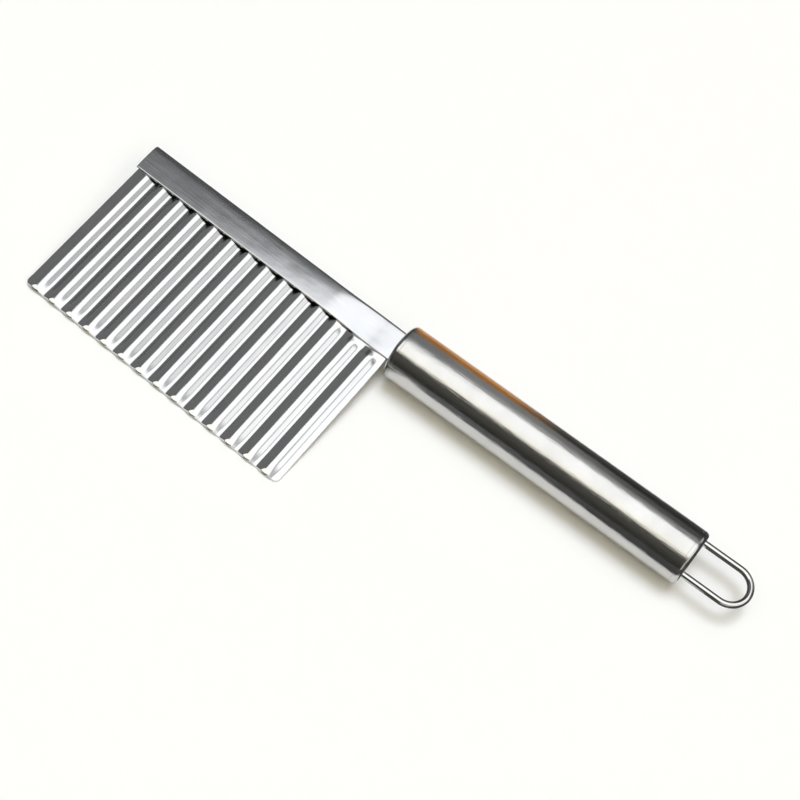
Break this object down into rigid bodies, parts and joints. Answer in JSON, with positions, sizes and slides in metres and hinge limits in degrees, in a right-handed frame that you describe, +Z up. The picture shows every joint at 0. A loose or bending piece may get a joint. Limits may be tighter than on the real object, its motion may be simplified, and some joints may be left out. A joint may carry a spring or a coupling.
{
  "type": "crinkle cutter",
  "caption": "Crinkle cutter: corrugated steel blade clamped in a folded steel spine, with a round hollow handle and a wire hanging loop, for cutting wavy slices of vegetables.",
  "frame": {"origin": "on the table, under the middle of the cutter's box as it lies flat", "axes": "+X along the handle from the blade towards the hanging loop, -Y towards the cutting edge, +Z up from the table"},
  "size_m": [0.248, 0.0686, 0.0195],
  "materials": {
    "blade_steel": "polished stainless steel, bright, with faint lines along the waves and a ground edge",
    "spine_steel": "stainless steel sheet, smooth and softly polished",
    "handle_steel": "mirror-polished stainless steel tube with fine polishing marks along its length",
    "wire_steel": "bright drawn stainless steel wire"
  },
  "bodies": {
    "root": {"crinkle_blade": "blade_steel", "spine_channel": "spine_steel", "handle_tube": "handle_steel", "handle_nose_cap": "handle_steel", "handle_rear_cap": "handle_steel", "hanging_loop": "wire_steel"}
  },
  "joints": []
}
